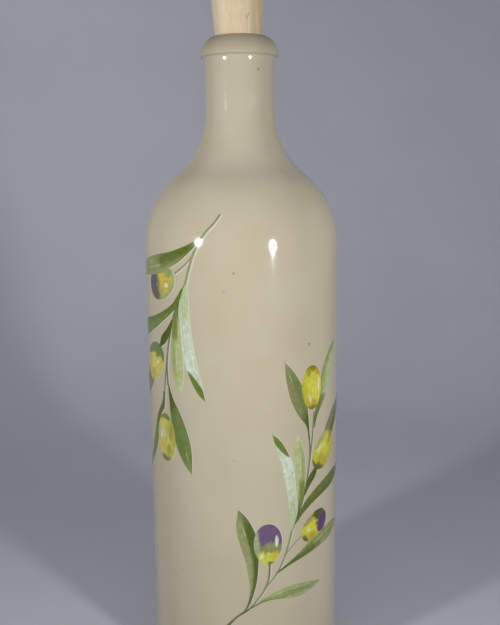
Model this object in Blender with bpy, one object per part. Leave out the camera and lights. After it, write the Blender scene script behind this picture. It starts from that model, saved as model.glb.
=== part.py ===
"""Stoneware oil bottle, shut by a tapered wooden stopper.

Metres, +Z up. The origin is the centre of the underside, and the bottle stands upright.
The bottle is one turned solid. It is opaque and shut, so below the seat of the stopper it is
modelled solid. The stopper is a second turned solid, wedged into the mouth a little askew.
"""

import math

import bmesh
import bpy

MM = 0.001

# Heights and radii of the bottle, outside.
BOTTLE_HEIGHT = 246.5 * MM
BODY_RADIUS = 38.1 * MM
FOOT_ROUND = 6.5 * MM
SHOULDER_END_BELOW_RIM = 78.6 * MM
SHOULDER_ROUND = 34.7 * MM
NECK_RADIUS = 13.4 * MM
NECK_HOLLOW_BELOW_RIM = 27.3 * MM
NECK_HOLLOW_ROUND = 30.8 * MM

# Below its collar the neck widens a little, and a small hollow leads out to the collar.
NECK_FLARE = 0.12 * MM
NECK_FLARE_BELOW_RIM = 10.5 * MM
UNDER_LIP_BELOW_RIM = 8.6 * MM
UNDER_LIP_ROUND = 1.3 * MM
UNDER_LIP_TURN = math.radians(70.0)

# The collar is a low dome over a short upright lip, which overhangs the neck. An exponent of 2
# would make the dome's outline a quarter of an ellipse, and a lower one makes it leaner.
COLLAR_RADIUS = 15.2 * MM
COLLAR_HEIGHT = 6.7 * MM
COLLAR_EXPONENT = 1.75
LIP_BELOW_RIM = 7.4 * MM

# The mouth, with the seat that the stopper goes into.
MOUTH_RADIUS = 9.5 * MM
MOUTH_ROUND = 0.5 * MM
SEAT_DEPTH = 17.5 * MM

# The stopper, measured from the rim: a taper with its wide end up.
STOPPER_RADIUS_AT_RIM = 9.0 * MM
STOPPER_ABOVE = 19.5 * MM
STOPPER_BELOW = 16.5 * MM
STOPPER_HALF_TAPER = math.radians(3.4)
STOPPER_TOP_ROUND = 0.9 * MM
STOPPER_TIP_ROUND = 0.6 * MM
STOPPER_LEAN = math.radians(2.2)
STOPPER_SHIFT = -0.2 * MM

# How finely the round stretches are drawn.
BOTTLE_SIDES = 72
STOPPER_SIDES = 48
SHOULDER_STEPS = 12
COLLAR_STEPS = 8
FLARE_STEPS = 4
EDGE_STEPS = 3

GLAZE_COLOUR = (0.56, 0.47, 0.33, 1.0)
WOOD_COLOUR = (0.66, 0.51, 0.32, 1.0)


def clear_scene():
    """Remove whatever the file held before."""
    for leftover in list(bpy.data.objects):
        bpy.data.objects.remove(leftover)


def round_arc(centre, radius, start, end, steps):
    """Points on a circle, from the angle start to the angle end, both ends included."""
    points = []
    for i in range(steps + 1):
        angle = start + (end - start) * i / steps
        points.append((centre[0] + radius * math.cos(angle), centre[1] + radius * math.sin(angle)))
    return points


def shoulder_and_neck_hollow():
    """The S of shoulder and neck, bottom to top: a round shoulder, a straight tangent, a hollow.

    The shoulder bulges out round one centre and the neck hollows in round another. The tangent
    that crosses between the two circles leaves both at the same angle.
    """
    shoulder_centre = (BODY_RADIUS - SHOULDER_ROUND, BOTTLE_HEIGHT - SHOULDER_END_BELOW_RIM)
    hollow_centre = (NECK_RADIUS + NECK_HOLLOW_ROUND, BOTTLE_HEIGHT - NECK_HOLLOW_BELOW_RIM)
    across = hollow_centre[0] - shoulder_centre[0]
    up = hollow_centre[1] - shoulder_centre[1]
    apart = math.hypot(across, up)
    tangent_angle = math.atan2(up, across) - math.acos((SHOULDER_ROUND + NECK_HOLLOW_ROUND) / apart)
    shoulder = round_arc(shoulder_centre, SHOULDER_ROUND, 0.0, tangent_angle, SHOULDER_STEPS)
    hollow = round_arc(
        hollow_centre, NECK_HOLLOW_ROUND, tangent_angle + math.pi, math.pi, SHOULDER_STEPS
    )
    return shoulder + hollow


def neck_flare():
    """The neck's widening towards the collar: its radius grows with the square of the height."""
    low = BOTTLE_HEIGHT - NECK_FLARE_BELOW_RIM
    high = BOTTLE_HEIGHT - UNDER_LIP_BELOW_RIM
    points = []
    for i in range(FLARE_STEPS + 1):
        share = i / FLARE_STEPS
        points.append((NECK_RADIUS + NECK_FLARE * share**2, low + (high - low) * share))
    return points


def under_lip():
    """The hollow that leads from the flared neck out to the collar's lip, smooth with the flare."""
    slope = math.atan(2.0 * NECK_FLARE / (NECK_FLARE_BELOW_RIM - UNDER_LIP_BELOW_RIM))
    centre = (
        NECK_RADIUS + NECK_FLARE + UNDER_LIP_ROUND * math.cos(slope),
        BOTTLE_HEIGHT - UNDER_LIP_BELOW_RIM - UNDER_LIP_ROUND * math.sin(slope),
    )
    return round_arc(centre, UNDER_LIP_ROUND, math.pi - slope, math.pi - UNDER_LIP_TURN, EDGE_STEPS)


def collar_dome():
    """The collar from its widest ring up to the mouth, a quarter of a lean superellipse.

    Its points are the centre plus reach * cos(t)^p and rise * sin(t)^p, with p = 2 / exponent.
    """
    inner = MOUTH_RADIUS + MOUTH_ROUND
    power = 2.0 / COLLAR_EXPONENT
    points = []
    for i in range(COLLAR_STEPS + 1):
        angle = 0.5 * math.pi * i / COLLAR_STEPS
        across = max(0.0, math.cos(angle)) ** power
        up = math.sin(angle) ** power
        points.append(
            (inner + (COLLAR_RADIUS - inner) * across, BOTTLE_HEIGHT + COLLAR_HEIGHT * (up - 1.0))
        )
    return points


def bottle_profile():
    """Radius and height of the bottle's outline, from the underside's centre to the seat's floor."""
    seat_floor = BOTTLE_HEIGHT - SEAT_DEPTH
    lip_z = BOTTLE_HEIGHT - LIP_BELOW_RIM
    foot_centre = (BODY_RADIUS - FOOT_ROUND, FOOT_ROUND)
    mouth_centre = (MOUTH_RADIUS + MOUTH_ROUND, BOTTLE_HEIGHT - MOUTH_ROUND)
    return (
        [(0.0, 0.0)]
        + round_arc(foot_centre, FOOT_ROUND, -math.pi / 2, 0.0, EDGE_STEPS)
        + shoulder_and_neck_hollow()
        + neck_flare()
        + under_lip()[1:]
        + [(COLLAR_RADIUS, lip_z)]
        + collar_dome()
        + round_arc(mouth_centre, MOUTH_ROUND, math.pi / 2, math.pi, EDGE_STEPS)[1:]
        + [(MOUTH_RADIUS, seat_floor), (0.0, seat_floor)]
    )


def stopper_profile():
    """Radius and height of the stopper's outline, from its tip's centre to its top's centre."""
    taper = math.tan(STOPPER_HALF_TAPER)
    tip_radius = STOPPER_RADIUS_AT_RIM - STOPPER_BELOW * taper
    top_radius = STOPPER_RADIUS_AT_RIM + STOPPER_ABOVE * taper
    tip_centre = (tip_radius - STOPPER_TIP_ROUND, STOPPER_TIP_ROUND - STOPPER_BELOW)
    top_centre = (top_radius - STOPPER_TOP_ROUND, STOPPER_ABOVE - STOPPER_TOP_ROUND)
    return (
        [(0.0, -STOPPER_BELOW)]
        + round_arc(tip_centre, STOPPER_TIP_ROUND, -math.pi / 2, 0.0, EDGE_STEPS)
        + round_arc(top_centre, STOPPER_TOP_ROUND, 0.0, math.pi / 2, EDGE_STEPS)
        + [(0.0, STOPPER_ABOVE)]
    )


def turned(name, profile, sides, material):
    """A solid turned round the Z axis from a profile that starts and ends on that axis."""
    mesh = bpy.data.meshes.new(name)
    shape = bmesh.new()
    outline = [shape.verts.new((radius, 0.0, z)) for radius, z in profile]
    edges = [shape.edges.new(pair) for pair in zip(outline, outline[1:])]
    bmesh.ops.spin(
        shape,
        geom=outline + edges,
        cent=(0.0, 0.0, 0.0),
        axis=(0.0, 0.0, 1.0),
        angle=2.0 * math.pi,
        steps=sides,
        use_merge=True,
    )
    bmesh.ops.remove_doubles(shape, verts=shape.verts, dist=0.00001)
    bmesh.ops.recalc_face_normals(shape, faces=shape.faces)
    shape.to_mesh(mesh)
    shape.free()
    mesh.shade_smooth()
    mesh.set_sharp_from_angle(angle=math.radians(35.0))
    mesh.materials.append(material)
    piece = bpy.data.objects.new(name, mesh)
    bpy.context.scene.collection.objects.link(piece)
    return piece


def finish(name, colour, roughness):
    """A plain Principled material of one colour."""
    material = bpy.data.materials.new(name)
    material.use_nodes = True
    shader = material.node_tree.nodes["Principled BSDF"]
    shader.inputs["Base Color"].default_value = colour
    shader.inputs["Roughness"].default_value = roughness
    shader.inputs["Metallic"].default_value = 0.0
    return material


def make_bottle():
    """The glazed stoneware bottle, body, neck and collar in one piece."""
    return turned("bottle", bottle_profile(), BOTTLE_SIDES, finish("beige glaze", GLAZE_COLOUR, 0.15))


def make_stopper():
    """The stopper, modelled round the centre of the rim and leaning towards -X."""
    stopper = turned(
        "stopper", stopper_profile(), STOPPER_SIDES, finish("pale wood", WOOD_COLOUR, 0.6)
    )
    stopper.location = (STOPPER_SHIFT, 0.0, BOTTLE_HEIGHT)
    stopper.rotation_euler = (0.0, -STOPPER_LEAN, 0.0)
    return stopper


clear_scene()
make_bottle()
make_stopper()
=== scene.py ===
"""Oil bottle: glazed stoneware with printed olive sprigs, shut by a wooden stopper.

Run as a script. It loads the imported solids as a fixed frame, builds the surfaces that show
over them, and sets a plain studio round them. Metres, +Z up, the shown side towards -Y.
Round the bottle, azimuth 0 is the middle of the shown side and grows to the right.
"""

import math
from collections import namedtuple

import bpy
import numpy as np
from mathutils import Matrix, Vector


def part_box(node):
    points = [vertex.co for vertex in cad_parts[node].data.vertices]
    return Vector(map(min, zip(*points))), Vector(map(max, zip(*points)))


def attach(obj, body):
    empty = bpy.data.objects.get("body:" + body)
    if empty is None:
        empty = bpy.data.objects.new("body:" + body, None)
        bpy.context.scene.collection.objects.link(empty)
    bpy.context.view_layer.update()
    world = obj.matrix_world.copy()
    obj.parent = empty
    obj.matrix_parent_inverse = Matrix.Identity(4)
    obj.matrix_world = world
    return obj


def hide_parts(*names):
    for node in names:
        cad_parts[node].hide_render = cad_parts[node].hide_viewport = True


bl_info = {
    "name": "Stoneware oil bottle",
    "version": (1, 0, 0),
    "blender": (4, 5, 0),
    "location": "3D View > Sidebar > Oil Bottle",
    "description": "Builds a glazed stoneware oil bottle with printed olive sprigs",
    "category": "Object",
}

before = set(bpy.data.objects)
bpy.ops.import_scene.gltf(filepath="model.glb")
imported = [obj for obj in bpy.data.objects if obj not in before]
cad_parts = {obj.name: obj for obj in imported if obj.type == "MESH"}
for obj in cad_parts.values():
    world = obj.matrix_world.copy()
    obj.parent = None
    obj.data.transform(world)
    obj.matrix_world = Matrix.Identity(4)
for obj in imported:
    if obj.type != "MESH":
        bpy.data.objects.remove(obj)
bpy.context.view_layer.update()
BOTTLE_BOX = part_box("bottle")
MM = 0.001
ROOT = "root"

# The grids of the two turned pieces, as columns round each.
BOTTLE_COLUMNS = 256
STOPPER_COLUMNS = 288

# Edges that turn by more than this are drawn sharp.
SHARP_ANGLE = math.radians(40.0)

# The prints lie over the glaze in thin layers, the white underprint lowest.
PRINT_FLOOR = -0.02 * MM
UNDERPRINT_LIFT = 0.015 * MM
PRINT_LIFT = 0.03 * MM
PRINT_STEP = 0.003 * MM
UNDERPRINT_STEP = 0.001 * MM

# How far the underprint shows on each side of a stem, in millimetres.
STEM_HALO = 0.22

# The wall stands this far inside the true circle, so that the prints stay within the solid.
# Its slow waves are about this deep, and their angle goes once round over this much height.
WALL_SINK = 0.11 * MM
THROW_DEPTH = 0.012 * MM
THROW_RISE = 90.0 * MM

# All this fades in between these two radii, so that the mouth stays round.
THROW_FROM = (10.0 * MM, 13.0 * MM)

# The innermost rings of the flat ends, inside which a fan closes the surface.
UNDERSIDE_RING = 2.0 * MM
STOPPER_TOP_RING = 0.6 * MM

# The rounding of the stopper's tip, which is hidden in the seat.
STOPPER_TIP_ROUND = 0.6 * MM


def linear(hex_colour):
    """An sRGB colour written as #rrggbb, turned to linear red, green, blue and alpha 1."""
    channels = [int(hex_colour[i : i + 2], 16) / 255.0 for i in (1, 3, 5)]
    curve = [c / 12.92 if c <= 0.04045 else ((c + 0.055) / 1.055) ** 2.4 for c in channels]
    return (*curve, 1.0)


def smooth(low, high, value):
    """0 below low, 1 above high, and between them 3t^2 - 2t^3 of the share t."""
    share = np.clip((value - low) / (high - low), 0.0, 1.0)
    return share * share * (3.0 - 2.0 * share)


def blend(under, over, share):
    """Mix of two colours, or arrays of them: under + (over - under) * share."""
    return under + (over - under) * np.asarray(share)[..., None]


def ellipse_arc(centre, reach, rise, start, end, count):
    """Points centre + (reach * cos t, rise * sin t) for count angles t, in degrees."""
    angle = np.radians(np.linspace(start, end, count))
    return np.stack([centre[0] + reach * np.cos(angle), centre[1] + rise * np.sin(angle)], axis=1)


def straight(start, end, count):
    """Evenly spaced points from start to end, both included."""
    share = np.linspace(0.0, 1.0, count)[:, None]
    return np.asarray(start) + (np.asarray(end) - np.asarray(start)) * share


def smooth_path(points, count):
    """A Catmull-Rom curve through the points: on each stretch a cubic whose slope at a point
    is half the step between that point's neighbours."""
    knots = np.asarray(points, float)
    padded = np.vstack([2 * knots[0] - knots[1], knots, 2 * knots[-1] - knots[-2]])
    place = np.linspace(0.0, len(knots) - 1.0, count)
    stretch = np.minimum(place.astype(int), len(knots) - 2)
    t = (place - stretch)[:, None]
    a, b, c, d = (padded[stretch + i] for i in range(4))
    return 0.5 * (2 * b + (c - a) * t + (2 * a - 5 * b + 4 * c - d) * t**2 + (3 * b - a - 3 * c + d) * t**3)


class OilBottleForm(bpy.types.PropertyGroup):
    """Sizes of the turned bottle, the same as the solid's."""

    height: bpy.props.FloatProperty(
        name="Height", description="Underside to rim", default=BOTTLE_BOX[1].z, unit="LENGTH"
    )
    body_radius: bpy.props.FloatProperty(
        name="Body radius", description="Radius of the straight wall", default=BOTTLE_BOX[1].x, unit="LENGTH"
    )
    foot_round: bpy.props.FloatProperty(
        name="Foot round", description="Radius of the foot's edge", default=6.5 * MM, unit="LENGTH"
    )
    shoulder_drop: bpy.props.FloatProperty(
        name="Shoulder drop", description="Rim down to the shoulder's foot", default=78.6 * MM, unit="LENGTH"
    )
    shoulder_round: bpy.props.FloatProperty(
        name="Shoulder round", description="Radius of the shoulder's curve", default=34.7 * MM, unit="LENGTH"
    )
    neck_radius: bpy.props.FloatProperty(
        name="Neck radius", description="Radius of the straight neck", default=13.4 * MM, unit="LENGTH"
    )
    hollow_drop: bpy.props.FloatProperty(
        name="Hollow drop", description="Rim down to the top of the neck's hollow",
        default=27.3 * MM, unit="LENGTH",
    )
    hollow_round: bpy.props.FloatProperty(
        name="Hollow round", description="Radius of the neck's hollow curve", default=30.8 * MM, unit="LENGTH"
    )
    flare: bpy.props.FloatProperty(
        name="Flare", description="How much the neck widens towards the collar",
        default=0.12 * MM, unit="LENGTH",
    )
    flare_drop: bpy.props.FloatProperty(
        name="Flare drop", description="Rim down to where the neck starts to widen",
        default=10.5 * MM, unit="LENGTH",
    )
    under_lip_drop: bpy.props.FloatProperty(
        name="Under-lip drop", description="Rim down to the hollow under the lip",
        default=8.6 * MM, unit="LENGTH",
    )
    under_lip_round: bpy.props.FloatProperty(
        name="Under-lip round", description="Radius of the hollow under the lip",
        default=1.3 * MM, unit="LENGTH",
    )
    collar_radius: bpy.props.FloatProperty(
        name="Collar radius", description="Widest radius of the collar", default=15.2 * MM, unit="LENGTH"
    )
    collar_height: bpy.props.FloatProperty(
        name="Collar height", description="Rim down to the top of the collar's lip",
        default=6.7 * MM, unit="LENGTH",
    )
    collar_exponent: bpy.props.FloatProperty(
        name="Collar exponent", description="2 for an elliptic dome, less for a leaner one", default=1.75
    )
    lip_drop: bpy.props.FloatProperty(
        name="Lip drop", description="Rim down to the collar's lower edge", default=7.4 * MM, unit="LENGTH"
    )
    mouth_radius: bpy.props.FloatProperty(
        name="Mouth radius", description="Radius of the stopper's seat", default=9.5 * MM, unit="LENGTH"
    )
    mouth_round: bpy.props.FloatProperty(
        name="Mouth round", description="Radius of the mouth's edge", default=0.5 * MM, unit="LENGTH"
    )
    seat_depth: bpy.props.FloatProperty(
        name="Seat depth", description="Rim down to the seat's floor", default=17.5 * MM, unit="LENGTH"
    )


class OilBottleStopperForm(bpy.types.PropertyGroup):
    """Sizes of the stopper, the same as the solid's."""

    radius: bpy.props.FloatProperty(
        name="Radius", description="Radius where it enters the mouth", default=9.0 * MM, unit="LENGTH"
    )
    above: bpy.props.FloatProperty(
        name="Above", description="Length that stands out of the mouth", default=19.5 * MM, unit="LENGTH"
    )
    below: bpy.props.FloatProperty(
        name="Below", description="Length inside the mouth", default=16.5 * MM, unit="LENGTH"
    )
    half_taper: bpy.props.FloatProperty(
        name="Half taper", description="Slope of its side", default=math.radians(3.4), subtype="ANGLE"
    )
    lean: bpy.props.FloatProperty(
        name="Lean", description="Lean to the left", default=math.radians(2.2), subtype="ANGLE"
    )
    shift: bpy.props.FloatProperty(
        name="Shift", description="How far it sits to the right", default=-0.2 * MM, unit="LENGTH"
    )
    top_round: bpy.props.FloatProperty(
        name="Top round", description="Radius of the top's edge", default=0.9 * MM, unit="LENGTH"
    )


class OilBottleColours(bpy.types.PropertyGroup):
    """Colours of the glaze, the bare clay and the wood."""

    glaze: bpy.props.FloatVectorProperty(
        name="Glaze", description="The glaze where it is even",
        size=4, subtype="COLOR", default=linear("#bab198"),
    )
    glaze_warm: bpy.props.FloatVectorProperty(
        name="Warm glaze", description="The glaze where it pools",
        size=4, subtype="COLOR", default=linear("#b7ac91"),
    )
    # Painted shade: a darker tone laid over the collar's upward-facing top, darkest at the rim.
    collar_shade: bpy.props.FloatVectorProperty(
        name="Collar shade", description="The glaze round the mouth",
        size=4, subtype="COLOR", default=linear("#9a8b6f"),
    )
    speck: bpy.props.FloatVectorProperty(
        name="Specks", description="Iron specks in the glaze",
        size=4, subtype="COLOR", default=linear("#63513c"),
    )
    clay: bpy.props.FloatVectorProperty(
        name="Bare clay", description="Unglazed stoneware of the foot",
        size=4, subtype="COLOR", default=linear("#988570"),
    )
    underprint: bpy.props.FloatVectorProperty(
        name="Underprint", description="White base of the prints",
        size=4, subtype="COLOR", default=linear("#c4c3b3"),
    )
    wood_pale: bpy.props.FloatVectorProperty(
        name="Pale wood", description="Wood between the rings",
        size=4, subtype="COLOR", default=linear("#d3bf9b"),
    )
    wood_dark: bpy.props.FloatVectorProperty(
        name="Dark wood", description="Wood of the rings",
        size=4, subtype="COLOR", default=linear("#c3a478"),
    )
    backdrop: bpy.props.FloatVectorProperty(
        name="Backdrop", description="Floor and wall of the stage",
        size=4, subtype="COLOR", default=linear("#cccccf"),
    )


def bottle_outline(form):
    """Radius and height of the bottle's skin, from its underside's edge to its seat's floor.

    Straight stretches and quarter circles follow each other. Shoulder and neck are two circles
    that bulge opposite ways, joined by the line that touches both: it leaves each of them at
    the angle atan2(up, across) - acos((shoulder + hollow) / distance) of their centres. The
    collar's dome is a superellipse: reach * cos(t)^p across and rise * sin(t)^p up, p = 2 / exponent.
    """
    top = form.height
    shoulder = (form.body_radius - form.shoulder_round, top - form.shoulder_drop)
    hollow = (form.neck_radius + form.hollow_round, top - form.hollow_drop)
    across, up = hollow[0] - shoulder[0], hollow[1] - shoulder[1]
    reach = (form.shoulder_round + form.hollow_round) / math.hypot(across, up)
    tangent = math.degrees(math.atan2(up, across) - math.acos(reach))
    foot = (form.body_radius - form.foot_round, form.foot_round)
    flare_low, flare_high = top - form.flare_drop, top - form.under_lip_drop
    share = np.linspace(0.0, 1.0, 12)
    flare_radius = form.neck_radius + form.flare * share**2
    flare = np.stack([flare_radius, flare_low + (flare_high - flare_low) * share], axis=1)
    slope = math.atan(2.0 * form.flare / (flare_high - flare_low))
    lip_round = form.under_lip_round
    lip_hollow = (flare[-1, 0] + lip_round * math.cos(slope), flare_high - lip_round * math.sin(slope))
    under_lip = ellipse_arc(lip_hollow, lip_round, lip_round, 180 - math.degrees(slope), 110, 9)
    collar = top - form.collar_height
    inner = form.mouth_radius + form.mouth_round
    lip = straight((form.collar_radius, top - form.lip_drop), (form.collar_radius, collar), 4)
    quarter = np.linspace(0.0, 0.5 * math.pi, 30)
    power = 2.0 / form.collar_exponent
    across, up_dome = np.clip(np.cos(quarter), 0.0, 1.0) ** power, np.sin(quarter) ** power
    dome_radius = inner + (form.collar_radius - inner) * across
    dome = np.stack([dome_radius, collar + form.collar_height * up_dome], axis=1)
    bore = form.mouth_radius
    mouth = ellipse_arc((inner, top - form.mouth_round), form.mouth_round, form.mouth_round, 90, 180, 7)
    return np.vstack(
        [
            straight((UNDERSIDE_RING, 0.0), (foot[0], 0.0), 8)[:-1],
            ellipse_arc(foot, form.foot_round, form.foot_round, -90, 0, 12),
            straight((form.body_radius, form.foot_round), (form.body_radius, shoulder[1]), 110)[1:-1],
            ellipse_arc(shoulder, form.shoulder_round, form.shoulder_round, 0, tangent, 44),
            ellipse_arc(hollow, form.hollow_round, form.hollow_round, tangent + 180, 180, 40),
            straight((form.neck_radius, hollow[1]), (form.neck_radius, flare_low), 8)[1:-1],
            flare[:-1],
            under_lip,
            lip,
            dome[1:-1],
            mouth,
            straight((bore, top - form.mouth_round), (bore, top - form.seat_depth), 5)[1:],
        ]
    )


def thrown(azimuth, height):
    """How far the hand-finished wall stands off its true circle: always inside it, by three
    slow waves, each the sine of a whole number of turns plus a share of the height."""
    turn = 2.0 * math.pi * np.asarray(height) / THROW_RISE
    waves = (
        np.sin(2.0 * azimuth + 0.7 * turn)
        + 0.6 * np.sin(3.0 * azimuth - 1.3 * turn + 1.0)
        + 0.4 * np.sin(7.0 * azimuth + 2.1 * turn + 2.0)
    )
    return THROW_DEPTH * waves - WALL_SINK


def wall_radius(form, height):
    """Radius of the outer wall at a height, read off the outline between foot and neck."""
    outline = bottle_outline(form)
    wall = outline[(outline[:, 1] > 0.5 * form.foot_round) & (outline[:, 1] < form.height - form.flare_drop)]
    wall = wall[wall[:, 0] > form.mouth_radius + form.mouth_round]
    return np.interp(height, wall[:, 1], wall[:, 0])


def on_wall(form, arc_mm, height_mm, lift):
    """Points over the wall: arc is measured round the body, height from the underside.

    The azimuth is arc / body radius, and the point is (r sin a, -r cos a, height) with r the
    wall's radius at that height plus the wall's own unevenness and the lift.
    """
    azimuth = arc_mm * MM / form.body_radius
    height = height_mm * MM
    radius = wall_radius(form, height) + thrown(azimuth, height) + lift
    return np.stack([radius * np.sin(azimuth), -radius * np.cos(azimuth), height], axis=-1)


def grid_quads(rows, columns, closed=False, offset=0):
    """Quads of a grid stored row by row, each counter-clockwise as columns run right and rows
    run up. A closed grid joins its last column to its first."""
    starts = np.arange(columns if closed else columns - 1)
    row, column = np.meshgrid(np.arange(rows - 1), starts, indexing="ij")
    right = (column + 1) % columns
    low, high = row * columns, (row + 1) * columns
    corners = [low + column, low + right, high + right, high + column]
    return np.stack(corners, axis=-1).reshape(-1, 4) + offset


def new_piece(name, points, faces, material, uv=None, paint=None):
    """A smooth mesh object at the origin. UV and paint are given for each point."""
    mesh = bpy.data.meshes.new(name)
    mesh.from_pydata(np.asarray(points).reshape(-1, 3).tolist(), [], [list(face) for face in faces])
    if uv is not None:
        corner = np.empty(len(mesh.loops), np.int32)
        mesh.loops.foreach_get("vertex_index", corner)
        layer = mesh.uv_layers.new(name="print")
        layer.data.foreach_set("uv", np.asarray(uv, np.float32)[corner].ravel())
    if paint is not None:
        attribute = mesh.color_attributes.new("paint", "FLOAT_COLOR", "POINT")
        rgba = np.ones((len(mesh.vertices), 4), np.float32)
        rgba[:, :3] = paint
        attribute.data.foreach_set("color", rgba.ravel())
    mesh.shade_smooth()
    mesh.set_sharp_from_angle(angle=SHARP_ANGLE)
    mesh.materials.append(material)
    piece = bpy.data.objects.new(name, mesh)
    bpy.context.scene.collection.objects.link(piece)
    return piece


def turned_piece(name, outline, columns, material, shape=None, paint=None):
    """A closed surface of revolution: point (r sin a, -r cos a, z) for each outline point and
    azimuth a, with both ends closed by a fan round the axis. Shape may move the grid."""
    azimuth = np.linspace(0.0, 2.0 * math.pi, columns, endpoint=False)
    radius, height = outline[:, 0][:, None], outline[:, 1][:, None]
    grid = np.stack(
        [radius * np.sin(azimuth), -radius * np.cos(azimuth), height + 0.0 * azimuth], axis=-1
    )
    poles = np.array([[0.0, 0.0, outline[0, 1]], [0.0, 0.0, outline[-1, 1]]])
    points = np.vstack([grid.reshape(-1, 3), poles])
    if shape:
        points = shape(points)
    rows = len(outline)
    around = np.arange(columns)
    after = (around + 1) % columns
    low, high = rows * columns, rows * columns + 1
    start = (rows - 1) * columns
    fans = [np.stack([after, around, np.full(columns, low)], axis=1)]
    fans.append(np.stack([start + around, start + after, np.full(columns, high)], axis=1))
    faces = grid_quads(rows, columns, closed=True).tolist() + np.vstack(fans).tolist()
    return new_piece(name, points, faces, material, paint=None if paint is None else paint(points))


def add_node(tree, kind, settings=None, inputs=None):
    """Add a node, set its attributes, and set or link each named or numbered input."""
    node = tree.nodes.new(kind)
    for key, value in (settings or {}).items():
        setattr(node, key, value)
    for key, value in (inputs or {}).items():
        if isinstance(value, bpy.types.NodeSocket):
            tree.links.new(value, node.inputs[key])
        else:
            node.inputs[key].default_value = value
    return node


def new_material(name):
    """A material with its Principled shader, and its node tree."""
    material = bpy.data.materials.new(name)
    material.use_nodes = True
    return material, material.node_tree, material.node_tree.nodes["Principled BSDF"]


Speck = namedtuple("Speck", "azimuth height radius strength")

# Iron specks that show in the glaze: azimuth in degrees, height and radius in millimetres.
SPECKS = (
    Speck(31.9, 233.5, 0.75, 0.45),
    Speck(-70.7, 185.3, 0.6, 0.5),
    Speck(-4.0, 160.7, 0.6, 0.6),
    Speck(-9.5, 153.8, 0.55, 0.4),
    Speck(41.0, 132.9, 0.6, 0.85),
    Speck(-5.1, 91.1, 0.6, 0.25),
    Speck(-44.9, 41.1, 0.6, 0.3),
    Speck(128.0, 170.0, 0.6, 0.5),
    Speck(172.0, 198.0, 0.5, 0.4),
    Speck(201.0, 110.0, 0.7, 0.5),
    Speck(238.0, 72.0, 0.55, 0.4),
    Speck(146.0, 44.0, 0.5, 0.5),
)


def speck_mask(tree, coords, form):
    """The largest of the specks' masks: each falls from its strength to 0 between 0.3 and 1
    of its radius from its centre."""
    mask = None
    for speck in SPECKS:
        reach = speck.radius * MM
        arc = math.radians(speck.azimuth) * form.body_radius / MM
        centre = on_wall(form, arc, np.array(speck.height), 0.0)
        away = add_node(
            tree, "ShaderNodeVectorMath", {"operation": "DISTANCE"}, {0: coords, 1: centre.tolist()}
        )
        near = add_node(
            tree,
            "ShaderNodeMapRange",
            {"interpolation_type": "SMOOTHSTEP"},
            {0: away.outputs["Value"], 1: 0.3 * reach, 2: reach, 3: speck.strength, 4: 0.0},
        )
        if mask is None:
            mask = near.outputs[0]
        else:
            larger = add_node(
                tree, "ShaderNodeMath", {"operation": "MAXIMUM"}, {0: mask, 1: near.outputs[0]}
            )
            mask = larger.outputs[0]
    return mask


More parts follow.
